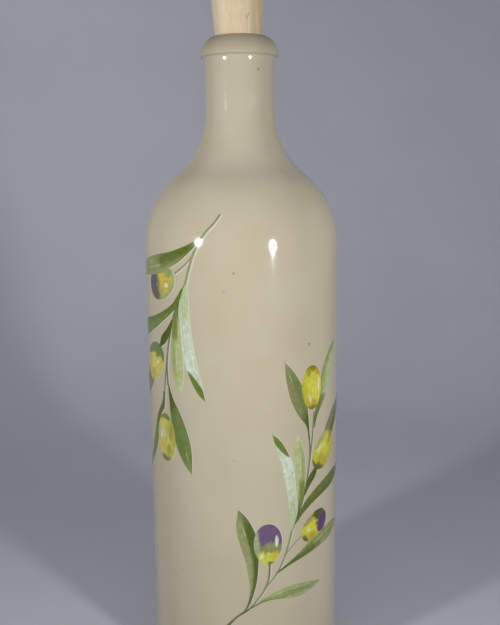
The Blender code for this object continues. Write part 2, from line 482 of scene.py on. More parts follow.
def stoneware_glaze(form, colours):
    """Glazed stoneware, dipped and fired: a glassy, opaque beige coat that pools a little
    warmer in places, over clay that stays bare and matt under the foot."""
    material, tree, shader = new_material("glazed stoneware, dipped")
    coords = add_node(tree, "ShaderNodeTexCoord").outputs["Object"]
    # Pools are about 25 mm across.
    pools = add_node(
        tree,
        "ShaderNodeTexNoise",
        None,
        {"Vector": coords, "Scale": 40.0, "Detail": 3.0, "Roughness": 0.5},
    )
    pooled = add_node(tree, "ShaderNodeMapRange", None, {0: pools.outputs[0], 1: 0.35, 2: 0.65})
    glaze = add_node(
        tree,
        "ShaderNodeMix",
        {"data_type": "RGBA"},
        {"Factor": pooled.outputs[0], 6: tuple(colours.glaze), 7: tuple(colours.glaze_warm)},
    )
    # Painted shade: the collar's top faces up and gets little light from above, so its colour is darkened
    # towards the rim.
    up = add_node(tree, "ShaderNodeSeparateXYZ", None, {0: coords}).outputs["Z"]
    collar = form.height - form.lip_drop
    towards_rim = add_node(tree, "ShaderNodeMapRange", None, {0: up, 1: collar, 2: form.height, 3: 0.1, 4: 0.9})
    on_collar = add_node(tree, "ShaderNodeMapRange", None, {0: up, 1: collar - 0.2 * MM, 2: collar})
    collar_shade_share = add_node(
        tree,
        "ShaderNodeMath",
        {"operation": "MULTIPLY"},
        {0: towards_rim.outputs[0], 1: on_collar.outputs[0]},
    )
    collar_shaded = add_node(
        tree,
        "ShaderNodeMix",
        {"data_type": "RGBA"},
        {"Factor": collar_shade_share.outputs[0], 6: glaze.outputs[2], 7: tuple(colours.collar_shade)},
    )
    specked = add_node(
        tree,
        "ShaderNodeMix",
        {"data_type": "RGBA"},
        {"Factor": speck_mask(tree, coords, form), 6: collar_shaded.outputs[2], 7: tuple(colours.speck)},
    )
    # The glaze is wiped off the foot, along a line that wanders by half a millimetre.
    edge = add_node(tree, "ShaderNodeTexNoise", None, {"Vector": coords, "Scale": 150.0, "Detail": 2.0})
    wander = add_node(
        tree,
        "ShaderNodeMath",
        {"operation": "MULTIPLY_ADD"},
        {0: edge.outputs[0], 1: 1.0 * MM, 2: up},
    )
    glazed = add_node(tree, "ShaderNodeMapRange", None, {0: wander.outputs[0], 1: 1.5 * MM, 2: 1.9 * MM})
    grit = add_node(tree, "ShaderNodeTexNoise", None, {"Vector": coords, "Scale": 900.0, "Detail": 2.0})
    gritty = add_node(
        tree,
        "ShaderNodeMix",
        {"data_type": "RGBA", "blend_type": "MULTIPLY"},
        {"Factor": 0.35, 6: tuple(colours.clay), 7: grit.outputs["Color"]},
    )
    surface = add_node(
        tree,
        "ShaderNodeMix",
        {"data_type": "RGBA"},
        {"Factor": glazed.outputs[0], 6: gritty.outputs[2], 7: specked.outputs[2]},
    )
    gloss = add_node(tree, "ShaderNodeMapRange", None, {0: glazed.outputs[0], 3: 0.75, 4: 0.09})
    # The fired coat has a faint orange peel, with bumps about 4 mm apart.
    peel = add_node(tree, "ShaderNodeTexNoise", None, {"Vector": coords, "Scale": 240.0, "Detail": 1.0})
    bump = add_node(
        tree,
        "ShaderNodeBump",
        None,
        {"Strength": 0.25, "Distance": 0.02 * MM, "Height": peel.outputs[0]},
    )
    tree.links.new(surface.outputs[2], shader.inputs["Base Color"])
    tree.links.new(gloss.outputs[0], shader.inputs["Roughness"])
    tree.links.new(bump.outputs[0], shader.inputs["Normal"])
    shader.inputs["IOR"].default_value = 1.52
    return material


def transfer_print():
    """Ceramic transfer, fired on: a fine film of enamel colours as glossy as the glaze, laid on in brush
    strokes that run along each leaf."""
    material, tree, shader = new_material("ceramic transfer, fired enamel")
    paint = add_node(tree, "ShaderNodeVertexColor", {"layer_name": "paint"})
    place = add_node(tree, "ShaderNodeUVMap", {"uv_map": "print"})
    # Strokes are about 0.5 mm wide and 6 mm long, over dabs about 2 mm across. The UV map is in
    # millimetres. The strokes also brighten the enamel, which is laid over white.
    stretch = add_node(
        tree, "ShaderNodeMapping", None, {"Vector": place.outputs[0], "Scale": (1.8, 0.16, 1.0)}
    )
    strokes = add_node(
        tree,
        "ShaderNodeTexNoise",
        None,
        {"Vector": stretch.outputs[0], "Scale": 1.0, "Detail": 4.0},
    )
    dabs = add_node(
        tree, "ShaderNodeTexNoise", None, {"Vector": place.outputs[0], "Scale": 0.55, "Detail": 3.0}
    )
    both = add_node(tree, "ShaderNodeMath", {"operation": "ADD"}, {0: strokes.outputs[0], 1: dabs.outputs[0]})
    strength = add_node(
        tree, "ShaderNodeMapRange", None, {0: both.outputs[0], 1: 0.7, 2: 1.3, 3: 0.78, 4: 1.17}
    )
    brushed = add_node(
        tree,
        "ShaderNodeVectorMath",
        {"operation": "SCALE"},
        {0: paint.outputs[0], "Scale": strength.outputs[0]},
    )
    tree.links.new(brushed.outputs[0], shader.inputs["Base Color"])
    shader.inputs["Roughness"].default_value = 0.12
    shader.inputs["IOR"].default_value = 1.52
    return material


def white_underprint(colours):
    """Ceramic transfer, fired on: the opaque white layer under the colours, a little out of
    register, so that it shows as a pale edge."""
    material, _, shader = new_material("ceramic transfer, white underprint")
    shader.inputs["Base Color"].default_value = tuple(colours.underprint)
    shader.inputs["Roughness"].default_value = 0.12
    shader.inputs["IOR"].default_value = 1.52
    return material


Leaf = namedtuple("Leaf", "left right foot blade far tip streaks fold", defaults=((), None))
Stem = namedtuple("Stem", "path start_width end_width colour end_colour")
Olive = namedtuple("Olive", "centre length width lean ground blobs")
Streak = namedtuple("Streak", "start end across width colour strength")
Blob = namedtuple("Blob", "colour across along reach_across reach_along soft")

# One sprig, in millimetres on the unrolled wall, from the fork at the foot of its main stem.
# It is drawn in this order, so a later piece lies over an earlier one. A leaf has points to
# steer its left and its right edge, both from foot to tip. The lower twigs are left out where
# the sprig hangs.
LOWER_TWIGS = (
    Stem(((-7.5, -7.9), (-5.0, -4.9), (-1.5, -1.3), (3.1, 1.9), (7.0, 6.5)), 1.2, 0.7, "#5f6238", "#8e8b66"),
    Stem(((10.9, 19.4), (10.4, 13.2), (8.0, 7.8)), 0.8, 0.7, "#66703a", "#8a8a62"),
    Leaf(
        (
            (-0.5, -0.6), (1.7, 2.4), (2.9, 6.5), (3.1, 11.0), (2.1, 18.0),
            (1.0, 23.0), (-0.8, 29.1), (-1.8, 35.0), (-0.9, 41.8),
        ),
        (
            (-0.2, -0.8), (2.8, 2.9), (4.6, 7.8), (5.9, 13.2), (6.5, 20.3),
            (6.4, 27.5), (5.2, 32.5), (2.4, 38.0), (-0.9, 41.6),
        ),
        "#5a671f", "#8c935c", "#4d5d16", "#7b7d4f",
        (
            Streak(0.72, 0.86, -0.15, 0.07, "#b9bf95", 0.85),
            Streak(0.12, 0.95, 0.02, 0.05, "#566729", 0.6),
            Streak(0.15, 0.55, -0.75, 0.3, "#9aa177", 0.5),
        ),
    ),
    Leaf(
        (
            (-0.4, -0.5), (4.2, 2.6), (8.0, 5.0), (11.0, 6.7),
            (15.0, 8.1), (20.5, 9.1), (27.5, 8.2), (35.2, 6.4),
        ),
        (
            (-0.2, -0.8), (4.6, 2.3), (8.5, 4.0), (12.8, 4.5),
            (19.0, 3.9), (24.8, 3.6), (30.3, 4.7), (35.2, 6.2),
        ),
        "#575d26", "#9ba36b", "#868e56", "#969b63",
        (
            Streak(0.42, 0.95, -0.1, 0.09, "#586c33", 0.8),
            Streak(0.36, 0.52, -0.4, 0.14, "#b9c28e", 0.7),
            Streak(0.50, 0.85, 0.75, 0.3, "#a2a981", 0.6),
        ),
    ),
    Olive(
        (10.3, 27.2), 16.2, 11.1, 91.0, "#7c8452",
        (
            Blob("#98a27c", -0.95, 0.1, 0.34, 1.0, 0.4),
            Blob("#674f6f", 0.20, 0.80, 0.86, 0.74, 0.08),
            Blob("#674f6f", -0.36, 0.34, 0.28, 0.42, 0.15),
            Blob("#674f6f", 0.78, 0.22, 0.26, 0.32, 0.2),
            Blob("#828958", 0.10, -0.12, 0.34, 0.20, 0.5),
            Blob("#bdc248", 0.00, -0.78, 0.92, 0.36, 0.16),
            Blob("#bcbc3e", -0.45, -0.52, 0.24, 0.22, 0.4),
            Blob("#b9a833", 0.50, -0.56, 0.30, 0.18, 0.6),
            Blob("#d6d896", -0.50, -0.56, 0.15, 0.12, 0.6),
            Blob("#d2d9c4", 0.62, 0.10, 0.12, 0.27, 0.35),
            Blob("#636b28", 0.14, -0.95, 0.20, 0.10, 0.5),
        ),
    ),
)

# What differs between the two sprigs: where the stem starts, the low, the high, the outer and
# the top leaf, and the olives.
Differing = namedtuple(
    "Differing", "stem_start low_leaf high_leaf outer_leaf top_leaf low_olive middle_olive top_olive"
)
RISING_PARTS = Differing(
    (7.0, 6.5),
    (
        (
            (13.4, 15.3), (19.4, 18.9), (25.0, 22.2), (28.6, 24.4),
            (33.0, 25.8), (40.0, 27.3), (46.5, 27.3), (51.8, 25.8),
        ),
        (
            (13.6, 14.9), (19.7, 17.6), (27.3, 19.5), (34.8, 20.8),
            (41.0, 21.5), (46.0, 22.6), (50.0, 24.1), (51.8, 25.6),
        ),
        "#4b5a14", "#8b8f50", "#717a3a", "#85875f",
    ),
    (
        ((21.4, 33.6), (25.4, 40.2), (30.1, 43.9), (35.3, 46.4), (40.8, 48.0), (47.5, 48.9), (57.0, 47.9)),
        ((21.8, 33.4), (26.4, 37.6), (32.0, 40.4), (37.7, 42.0), (44.3, 43.2), (50.6, 45.2), (57.0, 47.7)),
        "#5c6924", "#676e26", "#596320", "#636832",
    ),
    (
        ((31.0, 69.5), (31.4, 74.5), (33.2, 81.6), (35.0, 88.6), (37.2, 93.2), (41.6, 98.4), (46.8, 101.4)),
        ((31.4, 69.5), (33.2, 74.4), (38.0, 80.2), (41.2, 85.2), (43.5, 91.3), (45.8, 96.6), (46.8, 101.2)),
        "#5d6a1e", "#9ca46c", "#b0b784", "#8f9168",
    ),
    (
        ((28.2, 66.2), (26.9, 71.2), (23.5, 75.4), (20.5, 80.6), (18.7, 86.0), (17.6, 92.0), (17.2, 97.2)),
        ((28.6, 66.2), (28.2, 72.0), (27.5, 78.0), (26.0, 84.5), (23.0, 90.0), (19.9, 94.2), (17.2, 97.0)),
        "#45510d", "#7d8153", "#707c47", "#8d8e69",
    ),
    Olive(
        (32.0, 30.1), 15.7, 11.0, 22.0, "#c2bb34",
        (
            Blob("#cfc82c", -0.15, -0.30, 0.55, 0.40, 0.5),
            Blob("#b09c2a", 0.50, -0.42, 0.32, 0.32, 0.5),
            Blob("#9a9a58", -0.80, -0.30, 0.26, 0.50, 0.5),
            Blob("#57395f", 0.32, 0.68, 0.74, 0.52, 0.1),
            Blob("#57395f", 0.50, 0.34, 0.36, 0.30, 0.12),
            Blob("#4b5322", -0.66, 0.60, 0.42, 0.58, 0.15),
            Blob("#5b5a3c", 0.06, 0.18, 0.24, 0.12, 0.5),
            Blob("#dfe0b4", -0.16, -0.47, 0.13, 0.12, 0.5),
            Blob("#57602a", 0.55, -0.92, 0.55, 0.22, 0.3),
        ),
    ),
    Olive(
        (37.8, 59.2), 17.0, 12.2, 40.0, "#bcb93c",
        (
            Blob("#b9b235", 0.75, 0.45, 0.45, 0.7, 0.6),
            Blob("#c9c84c", -0.10, 0.05, 0.55, 0.6, 0.7),
            Blob("#b3a22a", 0.50, -0.50, 0.78, 0.42, 0.5),
            Blob("#b39a30", 0.02, 0.62, 0.20, 0.30, 0.6),
            Blob("#8f9038", -0.30, 0.93, 0.50, 0.18, 0.5),
            Blob("#a3a562", -0.78, 0.20, 0.22, 0.50, 0.5),
            Blob("#d8d9a4", -0.52, -0.18, 0.12, 0.24, 0.6),
            Blob("#5f6b1e", 0.75, -0.92, 0.80, 0.36, 0.25),
            Blob("#5f6b1e", -0.30, -1.00, 0.60, 0.18, 0.3),
        ),
    ),
    Olive(
        (30.0, 85.6), 17.1, 10.5, 91.0, "#c3be3c",
        (
            Blob("#b7ab36", -0.95, 0.0, 0.30, 0.8, 0.7),
            Blob("#cec74e", 0.20, -0.05, 0.50, 0.50, 0.8),
            Blob("#828217", 0.0, 0.90, 0.66, 0.18, 0.4),
            Blob("#9a942a", -0.35, 0.70, 0.22, 0.18, 0.5),
            Blob("#ad902c", 0.60, 0.70, 0.28, 0.20, 0.5),
            Blob("#b3a326", -0.30, -0.66, 0.40, 0.20, 0.5),
            Blob("#bd973a", 0.22, -0.70, 0.22, 0.13, 0.6),
            Blob("#707718", 0.0, -0.97, 0.60, 0.16, 0.5),
            Blob("#dfe2bf", 0.72, 0.05, 0.09, 0.30, 0.5),
            Blob("#dbdfc0", -0.22, -0.52, 0.11, 0.16, 0.6),
        ),
    ),
)
HANGING_PARTS = Differing(
    (8.2, 8.1),
    (
        (
            (13.4, 15.3), (17.7, 19.8), (22.9, 24.1), (27.5, 26.5),
            (32.3, 28.7), (40.6, 30.3), (48.0, 31.2), (55.0, 30.6),
        ),
        (
            (13.6, 14.9), (18.5, 17.8), (22.9, 19.6), (27.1, 21.0),
            (33.0, 22.3), (41.4, 24.3), (48.5, 27.0), (55.0, 30.4),
        ),
        "#586722", "#8a925a", "#7c8a4c", "#8b9264",
    ),
    (
        (
            (21.2, 33.0), (23.0, 37.8), (26.4, 41.6), (30.2, 44.4),
            (35.8, 47.9), (45.9, 52.7), (54.0, 54.9), (60.0, 54.8),
        ),
        (
            (21.6, 32.7), (25.4, 37.8), (29.0, 40.4), (34.1, 42.9),
            (40.0, 44.8), (46.5, 46.6), (54.0, 50.2), (60.0, 54.6),
        ),
        "#5f6d2a", "#72813f", "#63733a", "#6a7548",
    ),
    (
        ((30.9, 69.5), (30.6, 74.4), (33.5, 79.7), (35.3, 87.1), (36.6, 91.2), (39.6, 95.5), (45.4, 101.8)),
        ((31.3, 69.5), (31.8, 73.0), (34.9, 77.8), (37.4, 83.1), (39.4, 88.4), (42.2, 94.1), (45.4, 101.6)),
        "#525e24", "#66733c", "#7b8656", "#808963",
    ),
    (
        ((28.0, 66.4), (25.8, 71.0), (23.0, 74.8), (20.8, 78.6), (18.9, 83.0), (17.5, 88.5), (17.3, 96.8)),
        ((28.4, 66.4), (27.8, 71.6), (27.2, 76.6), (26.0, 82.2), (24.0, 87.8), (20.8, 93.0), (17.3, 96.6)),
        "#56612c", "#6f7f43", "#6a7a3c", "#84905c",
    ),
    Olive(
        (32.3, 31.7), 15.7, 11.8, 20.0, "#9aa264",
        (
            Blob("#bcb258", 0.05, -0.28, 0.74, 0.34, 0.5),
            Blob("#cbae46", 0.22, -0.20, 0.34, 0.20, 0.6),
            Blob("#c9b148", -0.39, -0.26, 0.28, 0.22, 0.6),
            Blob("#c4ae46", -0.11, -0.68, 0.18, 0.26, 0.6),
            Blob("#5c5866", 0.40, 0.84, 1.0, 0.62, 0.12),
            Blob("#625e40", -0.60, 0.52, 0.34, 0.30, 0.35),
            Blob("#7e7a48", 0.10, 0.20, 0.40, 0.10, 0.6),
            Blob("#8e9a62", 0.38, -0.74, 0.30, 0.32, 0.4),
            Blob("#dcdfc4", -0.31, -0.38, 0.13, 0.11, 0.5),
        ),
    ),
    Olive(
        (37.8, 60.0), 16.3, 12.0, 42.0, "#c3ba50",
        (
            Blob("#c0b55a", 0.75, 0.45, 0.45, 0.7, 0.6),
            Blob("#cfc65c", -0.20, 0.15, 0.50, 0.6, 0.7),
            Blob("#bda548", -0.50, 0.46, 0.34, 0.30, 0.6),
            Blob("#d8d6b0", -0.34, -0.26, 0.12, 0.12, 0.6),
            Blob("#6e7c4a", 0.70, -0.86, 0.95, 0.66, 0.15),
            Blob("#6e7c4a", 1.05, -0.12, 0.48, 0.54, 0.2),
            Blob("#6e7c4a", -0.30, -0.95, 0.60, 0.30, 0.25),
            Blob("#8a8f4a", 0.00, 0.97, 0.60, 0.12, 0.5),
        ),
    ),
    Olive(
        (30.0, 85.9), 17.1, 10.5, 91.0, "#bdb858",
        (
            Blob("#aaa748", -0.95, 0.0, 0.30, 0.8, 0.7),
            Blob("#c3ba60", 0.20, 0.20, 0.50, 0.50, 0.8),
            Blob("#77813c", 0.0, -0.93, 0.85, 0.20, 0.4),
            Blob("#a59a38", -0.35, 0.50, 0.26, 0.20, 0.5),
            Blob("#c1c59a", 0.38, -0.17, 0.24, 0.34, 0.4),
            Blob("#a39b42", -0.55, -0.30, 0.22, 0.36, 0.5),
            Blob("#d2c25a", 0.20, -0.64, 0.40, 0.14, 0.5),
            Blob("#7b8148", 0.15, 0.93, 0.80, 0.18, 0.4),
            Blob("#d0d2b6", 0.60, -0.05, 0.10, 0.16, 0.5),
        ),
    ),
)


def upper_twigs(parts):
    """The sprig from its fork up, with the given parts where the two sprigs differ."""
    return (
        Stem(
            (
                parts.stem_start, (10.0, 10.7), (12.6, 13.6), (15.0, 17.2), (17.1, 21.6),
                (18.7, 26.2), (20.2, 31.6),
            ),
            0.7, 0.9, "#8f8b66", "#8a9565",
        ),
        Stem(
            (
                (20.2, 31.6), (22.0, 34.8), (24.0, 39.2), (25.8, 44.1), (27.4, 49.8),
                (28.7, 57.0), (29.9, 64.5), (30.6, 71.0), (31.1, 76.0),
            ),
            0.9, 0.7, "#6f7a45", "#7d8159",
        ),
        Stem(((16.9, 21.4), (20.4, 25.0), (24.6, 28.0)), 0.5, 0.6, "#918f6c", "#85865f"),
        Stem(((28.4, 55.6), (28.9, 60.5), (28.4, 67.0)), 0.7, 0.9, "#7d825a", "#6c7542"),
        parts.low_olive,
        Leaf(
            *parts.low_leaf,
            (
                Streak(0.34, 0.93, -0.08, 0.05, "#bfc898", 0.9),
                Streak(0.12, 0.50, 0.3, 0.8, "#52621a", 0.75),
                Streak(0.55, 0.95, 0.6, 0.4, "#959d6c", 0.6),
            ),
        ),
        Leaf(
            (
                (19.6, 31.6), (19.0, 36.0), (18.7, 41.0), (17.7, 48.0),
                (16.5, 54.2), (15.0, 60.2), (13.6, 64.8), (12.0, 70.5),
            ),
            (
                (20.4, 31.4), (22.3, 37.6), (22.2, 45.5), (21.6, 52.0),
                (20.4, 57.6), (18.4, 62.2), (15.4, 67.2), (12.0, 70.3),
            ),
            "#aebd90", "#bfc9ac", "#c5cebc", "#65752d",
            (
                Streak(0.0, 0.34, 0.0, 0.9, "#aebb8c", 0.8),
                Streak(0.40, 0.74, -0.55, 0.14, "#d4dccd", 0.7),
                Streak(0.30, 0.60, 0.45, 0.12, "#aab994", 0.6),
            ),
            fold=(0.79, -0.085),
        ),
        Leaf(
            (
                (22.3, 35.6), (23.0, 41.0), (22.2, 46.8), (21.4, 53.0),
                (21.0, 60.0), (21.3, 64.6), (22.3, 68.6),
            ),
            (
                (22.7, 35.4), (24.8, 41.0), (26.0, 46.5), (26.5, 52.5),
                (26.1, 58.6), (24.7, 64.3), (22.3, 68.4),
            ),
            "#4e5e16", "#aeb680", "#9aa566", "#b8c491",
            (
                Streak(0.52, 0.84, 0.12, 0.09, "#d2d9b8", 0.85),
                Streak(0.10, 0.46, 0.30, 0.8, "#6d7b30", 0.85),
                Streak(0.2, 0.5, -0.6, 0.2, "#b4bd88", 0.5),
            ),
        ),
        Leaf(*parts.high_leaf),
        Leaf(
            ((37.0, 61.0), (37.9, 66.1), (40.5, 69.8), (45.5, 74.0), (51.0, 76.4), (57.0, 77.2)),
            ((39.0, 59.0), (44.6, 64.0), (48.0, 67.2), (52.0, 70.8), (55.0, 73.8), (57.0, 77.0)),
            "#7e7d4c", "#7e7d52", "#5d5f30", "#625c38",
        ),
        parts.middle_olive,
        Leaf(
            ((25.6, 43.8), (26.9, 48.4), (29.6, 52.2), (33.4, 54.6)),
            ((26.2, 43.8), (29.0, 47.4), (32.0, 50.4), (33.6, 54.4)),
            "#535f20", "#525c16", "#495510", "#545f18",
        ),
        Leaf(
            *parts.top_leaf,
            (
                Streak(0.72, 0.88, -0.15, 0.06, "#bcc69a", 0.85),
                Streak(0.0, 0.30, 0.2, 0.9, "#4a5a12", 0.7),
                Streak(0.3, 0.95, 0.08, 0.06, "#53641f", 0.5),
            ),
        ),
        Leaf(
            *parts.outer_leaf,
            (Streak(0.10, 0.40, 0.2, 0.9, "#5f6c20", 0.7), Streak(0.3, 0.92, -0.7, 0.25, "#78854a", 0.6)),
        ),
        parts.top_olive,
    )


# Where each print is applied: arc and height of its fork, its scale and turn, and how far
# its white underprint lies to the right and up. Lengths in millimetres, the turn in degrees.
Placing = namedtuple("Placing", "name arc height scale turn slip twigs")
RISING = Placing(
    "rising", -1.1, 30.5, 1.0, 0.0, (0.30, 0.16), LOWER_TWIGS + upper_twigs(RISING_PARTS)
)
HANGING = Placing("hanging", 1.5, 190.0, 1.105, 178.6, (0.42, -0.2), upper_twigs(HANGING_PARTS))

LEAF_ROWS = 64
LEAF_COLUMNS = 17
STEM_COLUMNS = 5
OLIVE_CELLS = 41

# The colour of a folded leaf's very tip.
EXTREME_TIP = "#93906f"

# The share of a leaf's length over which a streak fades in, and out again.
STREAK_FADE = 0.06


def colour_row(hex_colour):
    """A colour as an array of linear red, green and blue."""
    return np.array(linear(hex_colour)[:3])


def along_path(path):
    """Distance along the path at each of its points."""
    return np.concatenate([[0.0], np.cumsum(np.linalg.norm(np.diff(path, axis=0), axis=1))])


def even_path(points, count):
    """The smooth curve through the points, resampled to even steps along its length."""
    path = smooth_path(points, 12 * count)
    along = along_path(path)
    steps = np.linspace(0.0, along[-1], count)
    return np.stack([np.interp(steps, along, path[:, 0]), np.interp(steps, along, path[:, 1])], axis=1)


def leaf_sheet(leaf):
    """A leaf's plan, UV and paint. Plan is left + (right - left) * (1 + v) / 2 between points
    at the same share of each edge, v from -1 to 1. The paint goes from foot to blade to tip,
    and the half right of the rib has its own colour."""
    left, right = even_path(leaf.left, LEAF_ROWS), even_path(leaf.right, LEAF_ROWS)
    v = np.linspace(-1.0, 1.0, LEAF_COLUMNS)
    plan = left[:, None, :] + (right - left)[:, None, :] * ((1.0 + v) / 2.0)[:, None]
    half = 0.5 * np.linalg.norm(right - left, axis=1)
    uv = np.stack([v * half[:, None], along_path((left + right) / 2.0)[:, None] + 0.0 * v], axis=-1)
    u = np.linspace(0.0, 1.0, LEAF_ROWS)[:, None]
    u = u + 0.02 * np.sin(3.0 * v + 9.0 * u)
    foot, blade, far, tip = (colour_row(c) for c in (leaf.foot, leaf.blade, leaf.far, leaf.tip))
    paint = blend(blade, far, smooth(-0.12, 0.22, v + 0.12 * np.sin(11.0 * u)))
    paint = blend(paint, foot, 1.0 - smooth(0.05, 0.42, u))
    if leaf.fold:
        edge = leaf.fold[0] + leaf.fold[1] * v
        paint = blend(paint, tip, smooth(edge - 0.006, edge + 0.006, u))
        paint = blend(paint, colour_row(EXTREME_TIP), smooth(0.95, 1.0, u))
    else:
        paint = blend(paint, tip, smooth(0.8, 1.0, u))
    for streak in leaf.streaks:
        begun = smooth(streak.start, streak.start + STREAK_FADE, u)
        inside = begun * (1.0 - smooth(streak.end - STREAK_FADE, streak.end, u))
        near = 1.0 - smooth(0.4 * streak.width, 1.4 * streak.width, np.abs(v - streak.across))
        paint = blend(paint, colour_row(streak.colour), streak.strength * inside * near)
    return plan, uv, paint


def stem_sheet(stem, halo=0.0):
    """A stem's plan, UV and paint: point path + v * half_width * right, v from -1 to 1, where
    right is the path's heading turned a quarter clockwise. Width and colour run evenly from
    start to end, the colour is deeper at its right edge, and halo is added to each side."""
    rows = 14 * len(stem.path)
    path = even_path(stem.path, rows)
    heading = np.gradient(path, axis=0)
    heading /= np.linalg.norm(heading, axis=1, keepdims=True)
    right = np.stack([heading[:, 1], -heading[:, 0]], axis=1)
    half = 0.5 * np.linspace(stem.start_width, stem.end_width, rows) + halo
    v = np.linspace(-1.0, 1.0, STEM_COLUMNS)
    plan = path[:, None, :] + (v * half[:, None])[..., None] * right[:, None, :]
    uv = np.stack([v * half[:, None], along_path(path)[:, None] + 0.0 * v], axis=-1)
    share = np.linspace(0.0, 1.0, rows)[:, None] + 0.0 * v
    paint = blend(colour_row(stem.colour), colour_row(stem.end_colour), share)
    return plan, uv, paint * (1.0 - 0.25 * smooth(0.2, 1.0, v))[:, None]


def olive_sheet(olive):
    """An olive's plan, UV and paint. A square grid (a, b) is rounded to a disc by
    (a sqrt(1 - b^2/2), b sqrt(1 - a^2/2)), stretched to the olive's size, narrowed a little
    towards its stem and turned to its lean. Each blob of paint is an ellipse with a wavy edge."""
    side = np.linspace(-1.0, 1.0, OLIVE_CELLS)
    b, a = np.meshgrid(side, side, indexing="ij")
    across, along = a * np.sqrt(1.0 - b * b / 2.0), b * np.sqrt(1.0 - a * a / 2.0)
    lean = math.radians(olive.lean)
    ahead = np.array([math.cos(lean), math.sin(lean)])
    right = np.array([ahead[1], -ahead[0]])
    offset_across = across * (1.0 + 0.05 * along) * olive.width / 2
    offset_along = along * olive.length / 2
    plan = np.array(olive.centre) + offset_across[..., None] * right + offset_along[..., None] * ahead
    paint = np.broadcast_to(colour_row(olive.ground), (*a.shape, 3))
    wave = 0.07 * np.sin(9.0 * across + 4.0 * along) + 0.06 * np.sin(17.0 * across - 13.0 * along)
    for blob in olive.blobs:
        away = np.hypot((across - blob.across) / blob.reach_across, (along - blob.along) / blob.reach_along)
        inside = 1.0 - smooth(1.0 - blob.soft, 1.0 + blob.soft, away + wave)
        paint = blend(paint, colour_row(blob.colour), inside)
    return plan, np.stack([offset_across, offset_along], axis=-1), paint


def twig_sheet(twig, halo=0.0):
    """The sheet of any part of the sprig. Only a stem takes a halo."""
    if isinstance(twig, Stem):
        return stem_sheet(twig, halo)
    return leaf_sheet(twig) if isinstance(twig, Leaf) else olive_sheet(twig)


def placed(plan, placing):
    """The sprig's plan turned, scaled and moved to its place on the unrolled wall."""
    turn = math.radians(placing.turn)
    x, y = plan[..., 0], plan[..., 1]
    arc = placing.arc + placing.scale * (x * math.cos(turn) - y * math.sin(turn))
    height = placing.height + placing.scale * (x * math.sin(turn) + y * math.cos(turn))
    return arc, height


def rim_quads(rows, columns, offset):
    """Quads between the edge of a grid and the edge of its copy that starts at offset."""
    index = np.arange(rows * columns).reshape(rows, columns)
    loop = np.concatenate([index[0, :-1], index[:-1, -1], index[-1, :0:-1], index[:0:-1, 0]])
    after = np.roll(loop, -1)
    return np.stack([loop + offset, after + offset, after, loop], axis=1)


def print_shell(form, sheets, lifts):
    """One closed thin shell for each sheet: its grid on the wall at its lift, the same grid
    sunk just under the glaze, and a rim between the two."""
    points, faces, uvs, paints = [], [], [], []
    start = 0
    for (arc, height, uv, paint), lift in zip(sheets, lifts):
        rows, columns = arc.shape
        count = rows * columns
        top = on_wall(form, arc, height, lift).reshape(-1, 3)
        under = on_wall(form, arc, height, PRINT_FLOOR).reshape(-1, 3)
        face = grid_quads(rows, columns)
        points += [top, under]
        faces += [face + start, face[:, ::-1] + start + count, rim_quads(rows, columns, count) + start]
        uvs += [uv.reshape(-1, 2)] * 2
        paints += [paint.reshape(-1, 3)] * 2
        start += 2 * count
    return np.vstack(points), np.vstack(faces), np.vstack(uvs), np.vstack(paints)


def colour_print(form, placing, material):
    """The sprig's colours, each part one step higher than the one before it."""
    sheets = []
    for twig in placing.twigs:
        plan, uv, paint = twig_sheet(twig)
        sheets.append((*placed(plan, placing), uv, paint))
    lifts = [PRINT_LIFT + PRINT_STEP * i for i in range(len(sheets))]
    points, faces, uv, paint = print_shell(form, sheets, lifts)
    return new_piece(f"olive_sprig_{placing.name}", points, faces.tolist(), material, uv, paint)


def underprint(form, placing, material):
    """The sprig's white base: the same outlines, slipped sideways by its placing, and wider
    under the stems."""
    sheets = []
    for twig in placing.twigs:
        plan, uv, paint = twig_sheet(twig, STEM_HALO)
        arc, height = placed(plan, placing)
        sheets.append((arc + placing.slip[0], height + placing.slip[1], uv, paint))
    lifts = [UNDERPRINT_LIFT + UNDERPRINT_STEP * i for i in range(len(sheets))]
    points, faces, uv, _ = print_shell(form, sheets, lifts)
    return new_piece(f"olive_sprig_{placing.name}_underprint", points, faces.tolist(), material, uv)


def stopper_outline(form):
    """Radius and height from the rim: the tip, the tapered side and the rounded top edge."""
    slope = math.tan(form.half_taper)
    tip, top = form.radius - form.below * slope, form.radius + form.above * slope
    rounding = form.top_round
    edge = ellipse_arc((top - rounding, form.above - rounding), rounding, rounding, 0, 90, 9)
    tip_round = STOPPER_TIP_ROUND
    return np.vstack(
        [
            straight((0.4 * tip, -form.below), (tip - tip_round, -form.below), 4)[:-1],
            ellipse_arc((tip - tip_round, tip_round - form.below), tip_round, tip_round, -90, 0, 4),
            straight((tip, tip_round - form.below), (form.radius, 0.0), 12)[1:-1],
            straight((form.radius, 0.0), edge[0], 110)[:-1],
            edge,
            straight(edge[-1], (STOPPER_TOP_RING, form.above), 22)[1:],
        ]
    )


# The pith lies far to the left of the stopper and a little towards the front.
PITH = (-60.0 * MM, -8.0 * MM)
RING_SPACING = 1.7 * MM
RING_HEIGHT = 0.03 * MM
BAND_SPACING = 5.2 * MM

# The relief fades in between these two radii, so the stopper's ends stay flat.
RELIEF_FROM = (7.0 * MM, 8.0 * MM)


def ring_wave(points, spacing):
    """Growth rings: half of 1 + the cosine of the distance from the pith over the spacing,
    with a slow drift up the grain."""
    away = np.hypot(points[:, 0] - PITH[0], points[:, 1] - PITH[1])
    drift = 0.25 * np.sin(points[:, 2] / (11.0 * MM) + 40.0 * points[:, 1] / MM / 30.0)
    return 0.5 + 0.5 * np.cos(2.0 * math.pi * (away / spacing + drift * 0.3))


